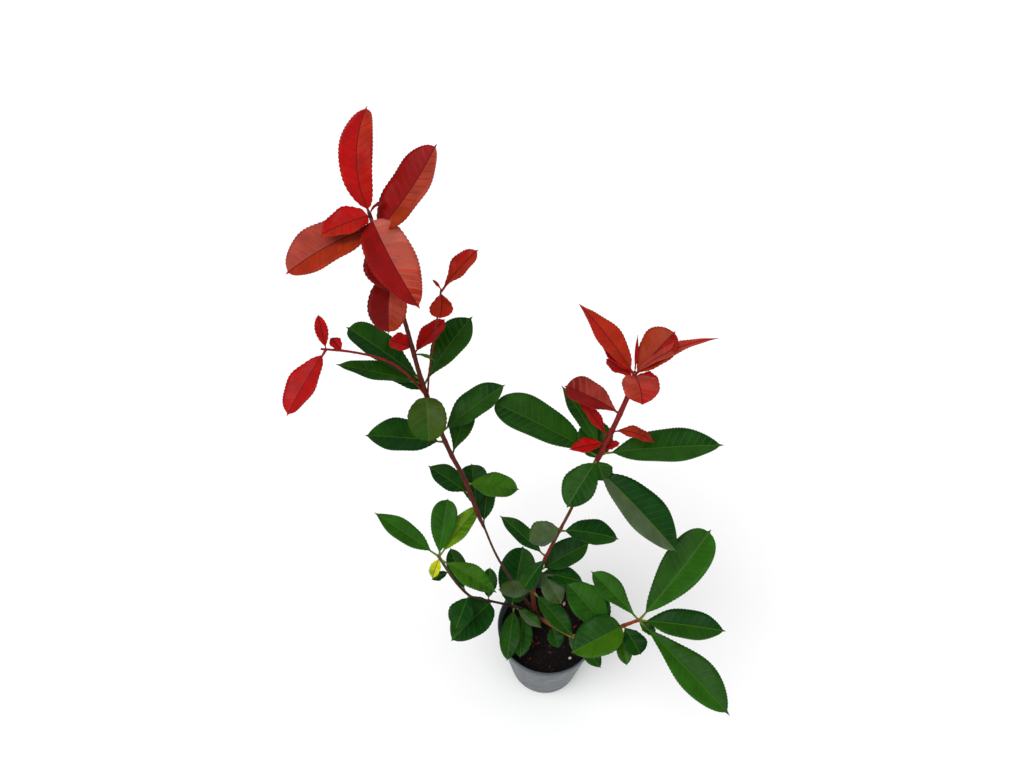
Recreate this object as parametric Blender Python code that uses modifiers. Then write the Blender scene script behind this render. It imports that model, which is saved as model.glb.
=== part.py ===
"""A young red-leaved photinia in a round nursery pot, as separate solids.

The pot stands on the XY plane with its axis on Z. +X is to the right and -Y is the front.
Two tall limbs and two low branches rise from a short trunk. Every limb is one smooth line,
cut square into a bough and the stems of its masses of foliage. A mass is a stretch of stem
with its twigs and leaves fused on. Lengths are in millimetres and become metres at the end.
"""

import math
import random

import bmesh
import bpy
from mathutils import Matrix, Vector

MM = 0.001
GAP = 0.3
SEED = 9

# The pot: a 90 mm round nursery pot with a slim rim band.
POT_HEIGHT = 90.0
POT_RIM_RADIUS = 45.0
POT_BASE_RADIUS = 32.5
POT_WALL = 1.5
POT_RIM_BAND = 7.0
POT_RIM_STEP = 0.9
POT_STEPS = 64

# The root ball: flat where the trunk stands, and a little lower along the wall.
SOIL_TOP = 80.0
SOIL_EDGE = 78.0
SOIL_FLAT_RADIUS = 24.0
SOIL_STEPS = 48

# The trunk: a short lean column with a flared foot, up to where the limbs part.
FOOT = (-9.0, 7.0, SOIL_TOP + GAP)
FORK = (-9.5, 6.0, 97.0)
FOOT_RADIUS = 5.2
COLLAR_RADIUS = 3.1
FORK_RADIUS = 2.7

# Each limb is a line of points: x, y, height and radius.
RIGHT_LIMB = (
    (-9.5, 6.0, 94, 2.6),
    (-13, 5, 125, 2.4),
    (-14, 5, 160, 2.3),
    (-9, 8, 184, 2.0),
    (-2, 12, 211, 1.7),
    (12, 22, 253, 1.4),
    (24, 32, 288, 1.4),
    (31, 37, 306, 2.2),
    (40, 44, 335, 2.2),
    (47, 50, 361, 2.1),
    (50, 55, 379, 1.7),
)
LEFT_LIMB = (
    (-9.5, 6.0, 96, 2.3),
    (-20, 9, 122, 1.7),
    (-43, 18, 182, 1.2),
    (-54, 27, 219, 1.2),
    (-58, 30, 232, 2.2),
    (-68, 40, 270, 2.1),
    (-77, 46, 295, 2.1),
    (-84, 52, 318, 2.0),
    (-93, 60, 356, 2.0),
    (-98, 66, 389, 1.8),
    (-102, 71, 417, 1.7),
    (-111, 80, 467, 1.5),
    (-115, 84, 488, 1.2),
)
LOW_LEFT_LIMB = (
    (-9.5, 6.0, 92, 1.8),
    (-20, 8, 102, 1.4),
    (-32, 8, 112, 1.2),
    (-53, 0, 142, 1.0),
    (-67, 0, 150, 1.0),
    (-79, 4, 170, 1.2),
    (-91, 9, 206, 1.2),
)
LOW_RIGHT_LIMB = (
    (-9.5, 6.0, 92, 2.3),
    (2, -6, 106, 2.1),
    (12, -16, 115, 2.0),
    (25, -26, 124, 1.9),
    (40, -37, 158, 1.6),
    (52, -45, 196, 1.6),
    (62, -50, 221, 1.3),
)
SIDE_TWIG = (
    (-91, 58, 349, 1.5),
    (-103, 60, 371, 1.3),
    (-117, 60, 386, 1.2),
    (-137, 58, 396, 1.1),
    (-155, 55, 402, 0.9),
)
SLIM_TWIG = (
    (-91, 58, 349, 1.3),
    (-88, 64, 373, 1.0),
    (-84, 68, 392, 0.9),
    (-80, 74, 414, 0.9),
    (-77, 80, 431, 0.8),
)

# Heights at which the limbs are cut: trunk stub, bough and one mass after another.
RIGHT_CUTS = (113, 148, 240, 318)
LEFT_CUTS = (112, 215, 300, 372)
LOW_LEFT_CUTS = (98, 102, 146)
LOW_RIGHT_CUTS = (99, 105, 150)
SIDE_TWIG_CUT = 366
SLIM_TWIG_CUT = 368

# A leaf's row: the height of its root on the stem; the compass turn of its blade, with 0
# to +X and 90 to +Y; its lift above level; its length and width; its roll about the
# midrib, which raises its right side; its arch, in degrees from root to tip; and its
# sweep, the same sideways, which bows it to the right.
LEFT_LOW_LEAVES = (
    (238, 98, 25, 38, 23, 0, 15, 0),
    (255, 154, 24, 40, 20, 0, 5, 0),
    (267, 353, -2, 41, 22, 0, 5, 0),
    (222, 82, 32, 37, 15, 0, 15, 0),
    (294, 65, 40, 41, 19, 0, 15, 0),
)
LEFT_MIDDLE_LEAVES = (
    (307, 183, 12, 58, 30, 0, 10, 0),
    (316, 30, 22, 58, 25, 0, 15, 0),
    (352, 150, 20, 40, 18, 0, 10, 0),
    (350, 275, -30, 33, 28, 0, 35, 0),
    (358, 47, 32, 59, 26, 0, 25, 0),
    (360, 175, 14, 60, 16, 0, 10, 0),
    (363, 157, 30, 62, 24, 0, 15, 0),
)
LEFT_LEADER_LEAVES = (
    (386, 52, 12, 33, 14, 0, 10, 0),
    (391, 165, 10, 16, 15, 0, 10, 0),
    (385, 345, -10, 15, 2.6, 0, 80, 0),
    (444, 269, -30, 35, 25, 0, 60, 0),
    (474, 286, -44, 35, 24, 0, 10, 0),
    (475, 32, 45, 63, 28, -10, 0, 22),
    (479, 212, -10, 58, 27, 15, 0, 25),
    (485, 304, -32, 61, 29, 0, 12, 14),
    (486, 207, -6, 31, 19, 15, 5, 15),
    (487, 89, 50, 60, 18, 0, 10, -50),
    (487, 30, 20, 12, 2.6, 0, 90, 0),
)
SIDE_TWIG_LEAVES = (
    (398, 140, 30, 11, 8, 0, 10, 0),
    (401, 239, -25, 49, 21, 0, 15, 0),
    (401, 106, 50, 23, 8, 0, 10, 0),
)
SLIM_TWIG_LEAVES = (
    (429, 268, -35, 17, 15, 0, 10, -30),
    (429, 34, 36, 36, 16, 0, 20, 0),
    (431, 150, 42, 8, 2.4, 0, 10, 0),
)
RIGHT_LOW_LEAVES = (
    (150, 182, 10, 24, 14, 0, 15, 0),
    (150, 309, 0, 52, 18, 0, 15, 0),
    (183, 305, -18, 32, 19, 0, 15, 0),
    (183, 22, 20, 47, 25, 0, 15, 0),
    (181, 346, 0, 37, 17, 0, 15, 0),
    (200, 225, -38, 31, 17, 0, 15, 0),
    (202, 145, 24, 50, 16, 0, 10, 0),
    (233, 349, 3, 46, 22, 0, 15, -15),
    (237, 202, -8, 28, 22, 0, 15, 0),
)
RIGHT_NODE_LEAVES = (
    (306, 158, 16, 87, 34, 0, 15, 0),
    (312, 129, 32, 55, 15, 0, 15, 0),
    (309, 355, 14, 86, 29, 0, 10, 0),
    (298, 316, -19, 85, 33, 0, 15, 0),
    (304, 233, -25, 42, 28, 0, 20, 0),
    (303, 290, -32, 22, 17, 0, 15, 0),
    (303, 99, 30, 26, 23, 0, 15, 0),
)
RIGHT_LEADER_LEAVES = (
    (345, 157, 14, 43, 24, 0, 25, 0),
    (323, 140, 39, 39, 12, 0, 15, 0),
    (320, 190, -8, 23, 12, 0, 10, 0),
    (321, 10, 12, 11, 7, 0, 10, 0),
    (329, 341, 0, 31, 10, 0, 80, 0),
    (375, 140, 5, 23, 14, 0, 15, 0),
    (376, 343, 3, 17, 9, 0, 15, 0),
    (377, 136, 31, 60, 22, 0, 20, 0),
    (378, 145, 22, 29, 13, 0, 15, 0),
    (376, 33, 40, 40, 27, 0, 10, 0),
    (377, 9, 27, 59, 12, 0, 60, 0),
    (377, 274, 6, 28, 25, 0, 30, -15),
    (378, 86, 50, 26, 2.4, 0, 10, 0),
)
LOW_LEFT_BASE_LEAVES = (
    (112, 77, 35, 54, 34, 0, 15, 0),
    (109, 322, -6, 30, 11, 0, 10, 0),
    (110, 265, -12, 47, 18, 0, 20, 0),
    (103, 264, -10, 42, 16, 0, 15, 0),
    (141, 88, 22, 28, 14, 0, 15, 0),
    (138, 224, -8, 47, 34, 0, 10, 0),
)
LOW_LEFT_TIP_LEAVES = (
    (152, 250, -10, 30, 22, 0, 10, 0),
    (156, 112, 25, 39, 17, 0, 10, 0),
    (184, 206, -2, 15, 8, 0, 10, 0),
    (204, 251, -20, 17, 9, 0, 10, 0),
    (201, 332, -10, 52, 19, 0, 20, 0),
    (205, 48, 22, 53, 17, 0, 15, 0),
    (205, 80, 32, 47, 22, 0, 15, 0),
    (206, 154, 25, 62, 18, 0, 5, 0),
)
LOW_RIGHT_BASE_LEAVES = (
    (107, 287, -10, 21, 15, 0, 10, 0),
    (117, 308, -5, 17, 9, 0, 10, 0),
    (122, 308, -5, 32, 14, 0, 10, 0),
)
LOW_RIGHT_TIP_LEAVES = (
    (176, 134, 15, 50, 29, 0, 15, 0),
    (174, 118, 12, 43, 23, 0, 15, 0),
    (191, 280, -15, 24, 12, 0, 15, 0),
    (199, 204, -10, 45, 34, 0, 10, 0),
    (200, 307, -12, 28, 21, 0, 15, 0),
    (219, 318, -4, 16, 9, 0, 10, 0),
    (220, 310, -2, 87, 29, 0, 12, 0),
    (220, 348, 10, 62, 25, 0, 12, 0),
    (221, 44, 31, 85, 32, 0, 10, 8),
    (220, 136, 15, 49, 21, 0, 12, 0),
)

BARK_BROWN = (0.17, 0.06, 0.04)
POT_GREY = (0.20, 0.25, 0.30)
SOIL_BROWN = (0.035, 0.018, 0.012)
LEAF_GREEN = (0.03, 0.16, 0.015)
LEAF_RED = (0.46, 0.02, 0.01)

# Blade stations from stalk to tip, and the shape of its outline there.
BLADE_STATIONS = (0.0, 0.12, 0.3, 0.5, 0.7, 0.87, 1.0)
STALK_RADIUS = 0.8
STALK_SHARE = 0.12
LEAF_FOLD = 16.0
THICKNESS_SHARE = 0.02


def clear_scene():
    for obj in list(bpy.data.objects):
        bpy.data.objects.remove(obj, do_unlink=True)


def make_material(name, colour, roughness):
    material = bpy.data.materials.new(name)
    material.use_nodes = True
    shader = material.node_tree.nodes["Principled BSDF"]
    shader.inputs["Base Color"].default_value = (*colour, 1.0)
    shader.inputs["Roughness"].default_value = roughness
    shader.inputs["Metallic"].default_value = 0.0
    return material


def make_collection(name):
    collection = bpy.data.collections.new(name)
    bpy.context.scene.collection.children.link(collection)
    return collection


def add_mesh_object(name, mesh, collection, material):
    obj = bpy.data.objects.new(name, mesh)
    collection.objects.link(obj)
    mesh.materials.clear()
    mesh.materials.append(material)
    return obj


def turned_solid(name, profile, steps, collection, material):
    """A closed profile of (radius, height) points, running down its outer side, turned about Z."""
    mesh = bpy.data.meshes.new(name)
    points = [(radius * MM, 0.0, height * MM) for radius, height in profile]
    edges = [(index, index + 1) for index in range(len(points) - 1)]
    mesh.from_pydata(points, edges, [])
    obj = add_mesh_object(name, mesh, collection, material)
    screw = obj.modifiers.new("Screw", "SCREW")
    screw.steps = steps
    screw.render_steps = steps
    screw.use_merge_vertices = True
    screw.merge_threshold = 0.00005
    return obj


def make_pot(collection, material):
    """A tapered cup with a slim band round its rim, on a flat underside."""
    lip = POT_RIM_RADIUS
    under_band = POT_HEIGHT - POT_RIM_BAND
    body = lip - POT_RIM_STEP
    profile = (
        (0, POT_WALL),
        (POT_BASE_RADIUS - POT_WALL - 1.5, POT_WALL),
        (POT_BASE_RADIUS - POT_WALL, POT_WALL + 1.5),
        (body - POT_WALL, under_band),
        (lip - POT_WALL, POT_HEIGHT - 0.4),
        (lip - 0.7 * POT_WALL, POT_HEIGHT),
        (lip - 0.3 * POT_WALL, POT_HEIGHT),
        (lip, POT_HEIGHT - 0.5),
        (lip - 0.2, under_band),
        (body, under_band - 0.6),
        (POT_BASE_RADIUS + 0.4, 2.0),
        (POT_BASE_RADIUS - 1.2, 0),
        (0, 0),
    )
    return turned_solid("pot", profile, POT_STEPS, collection, material)


def inner_radius(height):
    """The inside radius of the pot's wall below its rim band."""
    share = height / (POT_HEIGHT - POT_RIM_BAND)
    body = POT_RIM_RADIUS - POT_RIM_STEP
    return POT_BASE_RADIUS + (body - POT_BASE_RADIUS) * share - POT_WALL


def make_root_ball(collection, material):
    low = POT_WALL + GAP
    profile = (
        (0, SOIL_TOP),
        (SOIL_FLAT_RADIUS, SOIL_TOP),
        (inner_radius(SOIL_EDGE) - GAP - 4.0, SOIL_EDGE + 0.6),
        (inner_radius(SOIL_EDGE) - GAP - 0.3, SOIL_EDGE),
        (inner_radius(low + 3.0) - GAP - 0.3, low + 3.0),
        (inner_radius(low) - GAP - 2.4, low),
        (0, low),
    )
    return turned_solid("root_ball", profile, SOIL_STEPS, collection, material)


def smooth_line(points, step=6.0):
    """Samples of a smooth curve through the points, each (position, radius), a few mm apart."""
    knots = [Vector(point) for point in points]
    before = knots[0] * 2 - knots[1]
    after = knots[-1] * 2 - knots[-2]
    knots = [before, *knots, after]
    line = []
    for index in range(1, len(knots) - 2):
        a, b, c, d = knots[index - 1 : index + 3]
        pieces = max(2, round((c.xyz - b.xyz).length / step))
        for piece in range(pieces):
            line.append(catmull_rom(a, b, c, d, piece / pieces))
    line.append(knots[-2])
    return [(point.xyz, point.w) for point in line]


def catmull_rom(a, b, c, d, t):
    return 0.5 * (
        2 * b
        + (c - a) * t
        + (2 * a - 5 * b + 4 * c - d) * t * t
        + (3 * b - a - 3 * c + d) * t * t * t
    )


def point_at(line, height):
    """The position and radius where a rising line passes a height."""
    for (low, low_radius), (high, high_radius) in zip(line, line[1:]):
        if low.z <= height <= high.z:
            share = (height - low.z) / (high.z - low.z)
            return low.lerp(high, share), low_radius + (high_radius - low_radius) * share
    return line[-1] if height > line[-1][0].z else line[0]


def stretch(line, start, end):
    """The samples between two heights, each end cut there and drawn in by half the gap."""
    low = start if start is not None else line[0][0].z
    high = end if end is not None else line[-1][0].z
    inside = [sample for sample in line if low + 1.5 < sample[0].z < high - 1.5]
    ends = [point_at(line, low), point_at(line, high)]
    part = [ends[0], *inside, ends[1]]
    if start is not None:
        part[0] = drawn_in(part[0], part[1])
    if end is not None:
        part[-1] = drawn_in(part[-1], part[-2])
    return part


def drawn_in(end, neighbour):
    towards = (neighbour[0] - end[0]).normalized()
    return end[0] + towards * (GAP / 2), end[1]


def tube_mesh(name, samples):
    """A closed tube through the samples, made as a bevelled curve and welded to one mesh."""
    curve = bpy.data.curves.new(name, "CURVE")
    curve.dimensions = "3D"
    curve.bevel_depth = MM
    curve.bevel_resolution = 2
    curve.use_fill_caps = True
    spline = curve.splines.new("POLY")
    spline.points.add(len(samples) - 1)
    for point, (position, radius) in zip(spline.points, samples):
        point.co = (*(position * MM), 1.0)
        point.radius = radius
    obj = bpy.data.objects.new(name, curve)
    bpy.context.scene.collection.objects.link(obj)
    bpy.context.view_layer.update()
    graph = bpy.context.evaluated_depsgraph_get()
    mesh = bpy.data.meshes.new_from_object(obj.evaluated_get(graph))
    bpy.data.objects.remove(obj, do_unlink=True)
    weld(mesh)
    return mesh


def weld(mesh):
    form = bmesh.new()
    form.from_mesh(mesh)
    bmesh.ops.remove_doubles(form, verts=form.verts, dist=0.000002)
    bmesh.ops.recalc_face_normals(form, faces=form.faces)
    form.to_mesh(mesh)
    form.free()


def blade_width(share):
    """The outline of a leaf: narrow at the stalk, widest past the middle, with a short point."""
    return math.sin(math.pi * share**1.2) ** 0.9 if 0 < share < 1 else 0.0


def leaf_frame(turn, lift, roll):
    """Axes of a leaf: along its chord, to its right and out of its upper face."""
    turn, lift, roll = math.radians(turn), math.radians(lift), math.radians(roll)
    along = Vector((math.cos(lift) * math.cos(turn), math.cos(lift) * math.sin(turn), math.sin(lift)))
    right = Vector((math.sin(turn), -math.cos(turn), 0.0))
    face = right.cross(along)
    turned = Matrix.Rotation(-roll, 3, along)
    return along, turned @ right, turned @ face


def bowed(length, bend, share):
    """How far a chord of this length stands out at a share of its run, and its slope there."""
    half = math.radians(bend) / 2
    if abs(half) < 0.001:
        return 0.0, 0.0
    radius = length / (2 * math.sin(half))
    angle = math.asin((1 - 2 * share) * math.sin(half))
    return radius * (math.cos(angle) - math.cos(half)), angle


def leaf_mesh(name, root, row, rng):
    """A closed folded blade on its stalk: a loft of four-cornered sections from root to tip."""
    turn, lift, length, width, roll, arch, sweep = row
    along, right, face = leaf_frame(turn, lift, roll)
    fold = math.radians(LEAF_FOLD + rng.uniform(-4, 4))
    thickness = max(1.0, THICKNESS_SHARE * length)
    sections = []
    for share in (0.0, STALK_SHARE):
        sections.append((share, STALK_RADIUS, STALK_RADIUS, 0.0))
    for station in BLADE_STATIONS[1:-1]:
        half = max(STALK_RADIUS, width / 2 * blade_width(station))
        thick = thickness / 2 * min(1.0, 0.45 + 2.2 * (1 - station))
        sections.append((STALK_SHARE + (1 - STALK_SHARE) * station, half, thick, fold))
    form = bmesh.new()
    rings = []
    for share, half, thick, lean in sections:
        out, angle = bowed(length, arch, share)
        aside, _ = bowed(length, sweep, share)
        centre = root + along * (length * share) + face * out + right * aside
        up = face * math.cos(angle) - along * math.sin(angle)
        edge = half * math.cos(lean)
        rise = up * (half * math.sin(lean))
        corners = (
            centre - right * edge + rise,
            centre + up * thick,
            centre + right * edge + rise,
            centre - up * thick,
        )
        rings.append([form.verts.new(corner * MM) for corner in corners])
    tip = form.verts.new((root + along * length) * MM)
    form.faces.new(rings[0])
    for low, high in zip(rings, rings[1:]):
        for side in range(4):
            after = (side + 1) % 4
            form.faces.new((low[side], high[side], high[after], low[after]))
    for side in range(4):
        form.faces.new((rings[-1][side], tip, rings[-1][(side + 1) % 4]))
    bmesh.ops.recalc_face_normals(form, faces=form.faces)
    mesh = bpy.data.meshes.new(name)
    form.to_mesh(mesh)
    form.free()
    return mesh


def fuse(name, meshes, collection, material):
    """One Boolean union of the meshes, applied, as one object."""
    pieces = bpy.data.collections.new(name + "_pieces")
    bpy.context.scene.collection.children.link(pieces)
    base = add_mesh_object(name, meshes[0], collection, material)
    for mesh in meshes[1:]:
        add_mesh_object(mesh.name, mesh, pieces, material)
    union = base.modifiers.new("Union", "BOOLEAN")
    union.operation = "UNION"
    union.operand_type = "COLLECTION"
    union.collection = pieces
    union.solver = "MANIFOLD"
    bpy.context.view_layer.update()
    graph = bpy.context.evaluated_depsgraph_get()
    fused = bpy.data.meshes.new_from_object(base.evaluated_get(graph))
    base.modifiers.clear()
    base.data = fused
    for obj in list(pieces.objects):
        bpy.data.objects.remove(obj, do_unlink=True)
    bpy.data.collections.remove(pieces)
    return base


def make_trunk(limbs, collection, material):
    """The column with its flared foot, and a stub for each limb."""
    foot, fork = Vector(FOOT), Vector(FORK)
    column = [
        (foot, FOOT_RADIUS),
        (foot + Vector((0, 0, 2.5)), FOOT_RADIUS * 0.78),
        (foot.lerp(fork, 0.3), COLLAR_RADIUS),
        (foot.lerp(fork, 0.7), FORK_RADIUS),
        (fork, FORK_RADIUS),
    ]
    meshes = [tube_mesh("trunk_column", column)]
    for index, (line, cut) in enumerate(limbs):
        meshes.append(tube_mesh(f"trunk_stub_{index}", stretch(line, None, cut)))
    return fuse("trunk", meshes, collection, material)


def make_bough(name, line, low, high, collection, material):
    mesh = tube_mesh(name, stretch(line, low, high))
    return add_mesh_object(name, mesh, collection, material)


def make_mass(name, line, low, high, rows, collection, material, twigs=()):
    """A stretch of stem with its leaves, and the stubs of any twigs, fused to one solid."""
    rng = random.Random(SEED)
    meshes = [tube_mesh(name + "_stem", stretch(line, low, high))]
    for index, (twig, cut) in enumerate(twigs):
        meshes.append(tube_mesh(f"{name}_stub_{index}", stretch(twig, None, cut)))
    for index, (height, *row) in enumerate(rows):
        root, _ = point_at(line, height)
        meshes.append(leaf_mesh(f"{name}_leaf_{index}", root, row, rng))
    return fuse(name, meshes, collection, material)


def main():
    clear_scene()
    plant = make_collection("potted_photinia")
    bark = make_material("bark", BARK_BROWN, 0.7)
    green = make_material("green_foliage", LEAF_GREEN, 0.4)
    red = make_material("red_foliage", LEAF_RED, 0.4)
    make_pot(plant, make_material("pot_plastic", POT_GREY, 0.5))
    make_root_ball(plant, make_material("potting_soil", SOIL_BROWN, 0.95))

    right = smooth_line(RIGHT_LIMB)
    left = smooth_line(LEFT_LIMB)
    low_left = smooth_line(LOW_LEFT_LIMB)
    low_right = smooth_line(LOW_RIGHT_LIMB)
    side = smooth_line(SIDE_TWIG)
    slim = smooth_line(SLIM_TWIG)
    stubs = (
        (right, RIGHT_CUTS[0]),
        (left, LEFT_CUTS[0]),
        (low_left, LOW_LEFT_CUTS[0]),
        (low_right, LOW_RIGHT_CUTS[0]),
    )
    make_trunk(stubs, plant, bark)
    make_bough("right_bough", right, *RIGHT_CUTS[0:2], plant, bark)
    make_bough("left_bough", left, *LEFT_CUTS[0:2], plant, bark)
    make_bough("low_left_bough", low_left, *LOW_LEFT_CUTS[0:2], plant, bark)
    make_bough("low_right_bough", low_right, *LOW_RIGHT_CUTS[0:2], plant, bark)

    masses = (
        ("right_low_foliage", right, *RIGHT_CUTS[1:3], RIGHT_LOW_LEAVES, green),
        ("right_node_foliage", right, *RIGHT_CUTS[2:4], RIGHT_NODE_LEAVES, green),
        ("right_red_foliage", right, RIGHT_CUTS[3], None, RIGHT_LEADER_LEAVES, red),
        ("left_low_foliage", left, *LEFT_CUTS[1:3], LEFT_LOW_LEAVES, green),
        ("left_red_foliage", left, LEFT_CUTS[3], None, LEFT_LEADER_LEAVES, red),
        ("side_red_foliage", side, SIDE_TWIG_CUT, None, SIDE_TWIG_LEAVES, red),
        ("slim_red_foliage", slim, SLIM_TWIG_CUT, None, SLIM_TWIG_LEAVES, red),
        ("low_left_foliage", low_left, *LOW_LEFT_CUTS[1:3], LOW_LEFT_BASE_LEAVES, green),
        ("low_left_tip_foliage", low_left, LOW_LEFT_CUTS[2], None, LOW_LEFT_TIP_LEAVES, green),
        ("low_right_foliage", low_right, *LOW_RIGHT_CUTS[1:3], LOW_RIGHT_BASE_LEAVES, green),
        ("low_right_tip_foliage", low_right, LOW_RIGHT_CUTS[2], None, LOW_RIGHT_TIP_LEAVES, green),
    )
    for name, line, low, high, rows, material in masses:
        make_mass(name, line, low, high, rows, plant, material)
    twigs = ((side, SIDE_TWIG_CUT), (slim, SLIM_TWIG_CUT))
    make_mass(
        "left_middle_foliage", left, *LEFT_CUTS[2:4], LEFT_MIDDLE_LEAVES, plant, green, twigs
    )


main()
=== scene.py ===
# %% [markdown]
# # A young red-leaved photinia in its nursery pot
# The plant is a two-year-old shrub: a short trunk in a grey pot, two tall shoots and two low
# branches. Old leaves are green and glossy, and the newest ones at the shoot tips are red.
# The solid model is loaded first. Every piece made below takes the place of one of its solids
# and stays inside the space that the solid holds.

import math
import random

import bmesh
import bpy
from mathutils import Matrix, Vector, noise


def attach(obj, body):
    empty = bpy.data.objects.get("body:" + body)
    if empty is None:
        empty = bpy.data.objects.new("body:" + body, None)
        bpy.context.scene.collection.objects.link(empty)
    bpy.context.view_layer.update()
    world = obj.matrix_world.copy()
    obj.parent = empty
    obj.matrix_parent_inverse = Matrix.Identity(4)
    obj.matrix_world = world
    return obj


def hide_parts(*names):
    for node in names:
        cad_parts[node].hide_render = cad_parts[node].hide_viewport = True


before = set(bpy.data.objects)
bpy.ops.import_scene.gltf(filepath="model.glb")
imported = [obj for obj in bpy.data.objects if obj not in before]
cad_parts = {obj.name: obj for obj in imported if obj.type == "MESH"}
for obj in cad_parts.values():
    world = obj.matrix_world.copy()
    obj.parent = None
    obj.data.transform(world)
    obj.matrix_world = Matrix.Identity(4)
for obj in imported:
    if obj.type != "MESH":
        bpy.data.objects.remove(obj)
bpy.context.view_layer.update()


# %% [markdown]
# ## Camera, floor and light
# The plant was photographed from above, with a wide lens close by, on pure white. The camera is
# placed by its height and tilt, which the ellipses of the pot's rim and base give away. A pale
# floor under two wide lamps far off stands for the white studio table. A far lamp lights the
# floor evenly, its wide angle softens the shadows, and the pale world fills them.

# %% The camera
MM = 0.001
EYE = (-0.032, -0.277, 0.768)
TILT_FROM_DOWN = 39.6
LENS_MM = 27.0
NEAR_CLIP = 0.01

lens = bpy.data.cameras.new("camera")
lens.lens = LENS_MM
lens.clip_start = NEAR_CLIP
camera = bpy.data.objects.new("camera", lens)
camera.location = EYE
camera.rotation_euler = (math.radians(TILT_FROM_DOWN), 0.0, 0.0)
bpy.context.scene.collection.objects.link(camera)
bpy.context.scene.camera = camera
bpy.context.scene.view_settings.view_transform = "Standard"
print("camera at", EYE, "with a lens of", LENS_MM, "mm")

# %% The floor
FLOOR_HALF = 4.0
FLOOR_DROP = 0.0003
FLOOR_PALE = (0.93, 0.93, 0.93)


def add_object(name, form):
    """The bmesh as an object at the origin, with its place in its mesh."""
    mesh = bpy.data.meshes.new(name)
    form.to_mesh(mesh)
    form.free()
    made = bpy.data.objects.new(name, mesh)
    bpy.context.scene.collection.objects.link(made)
    return made


def new_finish(name, colour, roughness):
    """A material whose shader's own sockets hold its colour and roughness."""
    finish = bpy.data.materials.new(name)
    finish.use_nodes = True
    shader = finish.node_tree.nodes["Principled BSDF"]
    shader.inputs["Base Color"].default_value = (*colour, 1.0)
    shader.inputs["Roughness"].default_value = roughness
    return finish, shader


form = bmesh.new()
bmesh.ops.create_grid(form, x_segments=1, y_segments=1, size=FLOOR_HALF)
bmesh.ops.translate(form, verts=form.verts, vec=(0.0, 0.0, -FLOOR_DROP))
floor = add_object("floor", form)
floor.data.materials.append(new_finish("floor_paint", FLOOR_PALE, 0.9)[0])
print("floor", 2 * FLOOR_HALF, "m wide")

# %% The lamps
# Each lamp: the direction its light comes from, how wide it looks in degrees, and its power.
LAMPS = (
    ("key_lamp", (-0.45, -0.35, 1.0), 40.0, 1.7),
    ("fill_lamp", (0.9, -0.3, 0.8), 60.0, 0.5),
)
SKY = 0.62

for name, place, spread, power in LAMPS:
    lamp = bpy.data.lights.new(name, "SUN")
    lamp.angle = math.radians(spread)
    lamp.energy = power
    shown = bpy.data.objects.new(name, lamp)
    shown.location = place
    shown.rotation_euler = Vector(place).to_track_quat("Z", "Y").to_euler()
    bpy.context.scene.collection.objects.link(shown)
world = bpy.data.worlds.new("studio")
world.use_nodes = True
world.node_tree.nodes["Background"].inputs["Color"].default_value = (1.0, 1.0, 1.0, 1.0)
world.node_tree.nodes["Background"].inputs["Strength"].default_value = SKY
bpy.context.scene.world = world
print(len(LAMPS), "soft lamps")

# %% [markdown]
# ## Finishes
# A finish is a small tree of nodes. Noise on Object coordinates lies in the material like grain
# in wood, so it doesn't slide when the plant is seen from another side. Colours that belong to a
# certain leaf are set plainly on the shader, and the noise drives only roughness and bump.

# %% Helpers for the node trees
def noise_node(finish, scale, detail, stretch=(1.0, 1.0, 1.0)):
    """A noise pattern on Object coordinates, and its output."""
    nodes, links = finish.node_tree.nodes, finish.node_tree.links
    place = nodes.new("ShaderNodeTexCoord")
    turn = nodes.new("ShaderNodeMapping")
    grain = nodes.new("ShaderNodeTexNoise")
    turn.inputs["Scale"].default_value = stretch
    grain.inputs["Scale"].default_value = scale
    grain.inputs["Detail"].default_value = detail
    links.new(place.outputs["Object"], turn.inputs["Vector"])
    links.new(turn.outputs["Vector"], grain.inputs["Vector"])
    return grain.outputs["Fac"]


def ramp_node(finish, source, stops):
    """A ramp from shares to colours. A plain number stands for a grey."""
    nodes, links = finish.node_tree.nodes, finish.node_tree.links
    ramp = nodes.new("ShaderNodeValToRGB")
    while len(ramp.color_ramp.elements) < len(stops):
        ramp.color_ramp.elements.new(0.5)
    for element, (share, colour) in zip(ramp.color_ramp.elements, stops):
        element.position = share
        element.color = (*colour, 1.0) if hasattr(colour, "__len__") else (colour, colour, colour, 1.0)
    links.new(source, ramp.inputs["Fac"])
    return ramp.outputs["Color"]


def add_bump(finish, shader, source, strength, distance):
    """Relief from a pattern, by a strength and a depth in metres."""
    nodes, links = finish.node_tree.nodes, finish.node_tree.links
    bump = nodes.new("ShaderNodeBump")
    bump.inputs["Strength"].default_value = strength
    bump.inputs["Distance"].default_value = distance
    links.new(source, bump.inputs["Height"])
    links.new(bump.outputs["Normal"], shader.inputs["Normal"])


def wear(finish, shader, source, low, high):
    """Roughness that wanders between two values with the pattern."""
    output = ramp_node(finish, source, ((0.3, low), (0.7, high)))
    finish.node_tree.links.new(output, shader.inputs["Roughness"])


# %% [markdown]
# ## The pot
# A nursery pot is one thin shell of grey-blue plastic, moulded upside down in a smooth tool, so
# its wall tapers and its rim has a slim rolled lip. The wall's outline is drawn as a chain of
# edges and spun round the axis, as a potter would turn it. Faint upright streaks are left by
# the way the plastic flows into the mould.

# %% Turn the pot
POT_HEIGHT = 90.0
POT_RIM_RADIUS = 45.0
POT_BASE_RADIUS = 32.5
POT_WALL = 1.5
POT_RIM_BAND = 7.0
POT_RIM_STEP = 0.9
POT_TURNS = 144


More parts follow.
